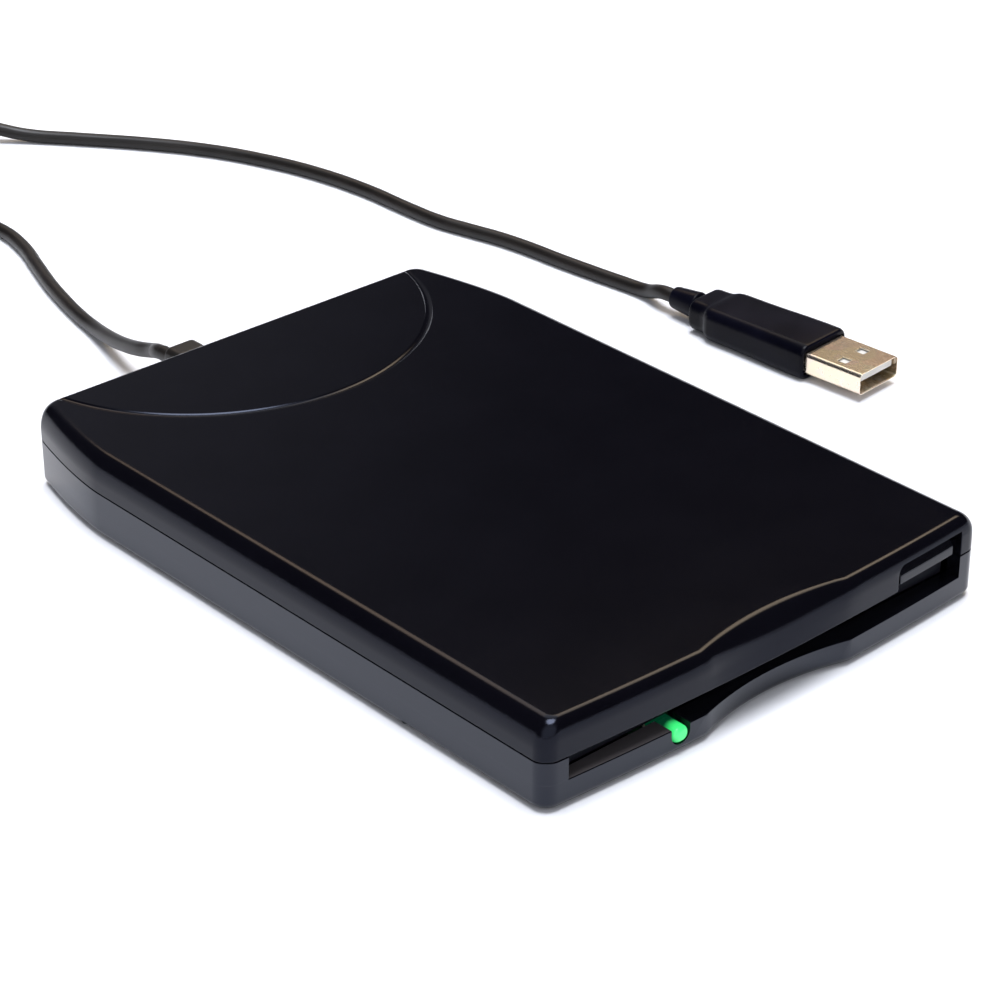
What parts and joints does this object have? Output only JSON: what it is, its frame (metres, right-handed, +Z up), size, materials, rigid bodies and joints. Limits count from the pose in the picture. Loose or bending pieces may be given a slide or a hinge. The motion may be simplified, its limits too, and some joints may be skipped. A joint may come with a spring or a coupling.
{
  "type": "external USB floppy disk drive",
  "caption": "Slim external floppy disk drive with a front disk slot, eject button, access lamp, working disk carrier and head mechanism, and a fixed cord with a USB plug.",
  "frame": {"origin": "on the table under the middle of the case's bounding box, measured without the cord, its strain relief and its plug", "axes": "-Y towards the disk slot, +X to the side of the eject button, +Z up"},
  "size_m": [0.1522, 0.3059, 0.0162],
  "materials": {
    "top_cover": "gloss",
    "bottom_case": "gloss",
    "lamp_lens": "clear green",
    "foot_front_left": "matt",
    "foot_rear_left": "matt",
    "foot_front_right": "matt",
    "foot_rear_right": "matt",
    "case_screw_left": "brushed",
    "case_screw_right": "brushed",
    "chassis_screw_front_left": "brushed",
    "chassis_screw_rear_left": "brushed",
    "chassis_screw_front_right": "brushed",
    "chassis_screw_rear_right": "brushed",
    "chassis": "brushed",
    "chassis_lid": "brushed",
    "stator": "sintered",
    "spindle_bearing": "turned",
    "guide_rod": "brushed",
    "stepper_motor": "brushed",
    "drive_board": "satin",
    "led": "satin",
    "usb_board": "satin",
    "usb_controller": "satin",
    "ffc_connector": "satin",
    "cord_socket": "satin",
    "ribbon_cable": "satin",
    "inner_lead": "satin",
    "strain_relief": "matt",
    "door_spring": "brushed",
    "cord_lead": "matt",
    "cord_coil": "matt",
    "cord_tail": "matt",
    "plug_grip": "matt",
    "plug_shell": "brushed",
    "plug_tongue": "satin",
    "slider_plate": "brushed",
    "eject_button": "gloss",
    "slider_spring": "brushed",
    "disk_carrier": "brushed",
    "shutter_lever": "brushed",
    "dust_door": "gloss",
    "spindle_rotor": "brushed",
    "rotor_magnet": "sintered",
    "spindle_shaft": "brushed",
    "chuck_disc": "brushed",
    "drive_pin": "turned",
    "lead_screw": "brushed",
    "head_carriage": "satin",
    "lower_head": "sintered",
    "arm_pin": "brushed",
    "upper_arm": "satin",
    "upper_head": "sintered"
  },
  "bodies": {
    "case": {"top_cover": "top_cover", "bottom_case": "bottom_case", "lamp_lens": "lamp_lens", "foot_front_left": "foot_front_left", "foot_rear_left": "foot_rear_left", "foot_front_right": "foot_front_right", "foot_rear_right": "foot_rear_right", "case_screw_left": "case_screw_left", "case_screw_right": "case_screw_right", "chassis_screw_front_left": "chassis_screw_front_left", "chassis_screw_rear_left": "chassis_screw_rear_left", "chassis_screw_front_right": "chassis_screw_front_right", "chassis_screw_rear_right": "chassis_screw_rear_right", "chassis": "chassis", "chassis_lid": "chassis_lid", "stator": "stator", "spindle_bearing": "spindle_bearing", "guide_rod": "guide_rod", "stepper_motor": "stepper_motor", "drive_board": "drive_board", "led": "led", "usb_board": "usb_board", "usb_controller": "usb_controller", "ffc_connector": "ffc_connector", "cord_socket": "cord_socket", "ribbon_cable": "ribbon_cable", "inner_lead": "inner_lead", "strain_relief": "strain_relief", "door_spring": "door_spring", "cord_lead": "cord_lead", "cord_coil": "cord_coil", "cord_tail": "cord_tail", "plug_grip": "plug_grip", "plug_shell": "plug_shell", "plug_tongue": "plug_tongue"},
    "slider": {"slider_plate": "slider_plate", "eject_button": "eject_button", "slider_spring": "slider_spring"},
    "carrier": {"disk_carrier": "disk_carrier"},
    "lever": {"shutter_lever": "shutter_lever"},
    "door": {"dust_door": "dust_door"},
    "spindle": {"spindle_rotor": "spindle_rotor", "rotor_magnet": "rotor_magnet", "spindle_shaft": "spindle_shaft", "chuck_disc": "chuck_disc", "drive_pin": "drive_pin"},
    "screw": {"lead_screw": "lead_screw"},
    "carriage": {"head_carriage": "head_carriage", "lower_head": "lower_head", "arm_pin": "arm_pin"},
    "arm": {"upper_arm": "upper_arm", "upper_head": "upper_head"}
  },
  "joints": [
    {"name": "eject_slide", "type": "slide", "parent": "case", "child": "slider", "axis": [0, -1, 0], "range_m": [0, 0.0045]},
    {"name": "carrier_drop", "type": "slide", "parent": "case", "child": "carrier", "axis": [0, 0, -1], "range_m": [0, 0.0012]},
    {"name": "lever_swing", "type": "hinge", "parent": "carrier", "child": "lever", "pos_m": [-0.041, 0.0242, 0.0103], "axis": [0, 0, 1], "range_deg": [0, 45], "stiffness_Nm_per_rad": 0.001},
    {"name": "door_swing", "type": "hinge", "parent": "case", "child": "door", "pos_m": [0, -0.06598, 0.0101], "axis": [1, 0, 0], "range_deg": [0, 80], "stiffness_Nm_per_rad": 0.001, "deforming": ["door_spring"]},
    {"name": "spindle_turn", "type": "hinge", "parent": "case", "child": "spindle", "pos_m": [0, -0.016, 0.0026], "axis": [0, 0, 1], "continuous": true},
    {"name": "screw_turn", "type": "hinge", "parent": "case", "child": "screw", "pos_m": [0.024, 0.0306, 0.0082], "axis": [0, 1, 0], "range_deg": [0, 1422]},
    {"name": "carriage_slide", "type": "slide", "parent": "case", "child": "carriage", "axis": [0, -1, 0], "range_m": [0, 0.01481]},
    {"name": "arm_tilt", "type": "hinge", "parent": "carriage", "child": "arm", "pos_m": [0, 0.0515, 0.011], "axis": [1, 0, 0], "range_deg": [0, 6.5]}
  ],
  "couplings": [
    {"joint": "carrier_drop", "follows": "eject_slide", "ratio": 0.26667},
    {"joint": "arm_tilt", "follows": "eject_slide", "rad_per_m": 25.2},
    {"joint": "screw_turn", "follows": "carriage_slide", "rad_per_m": 1675.5}
  ]
}
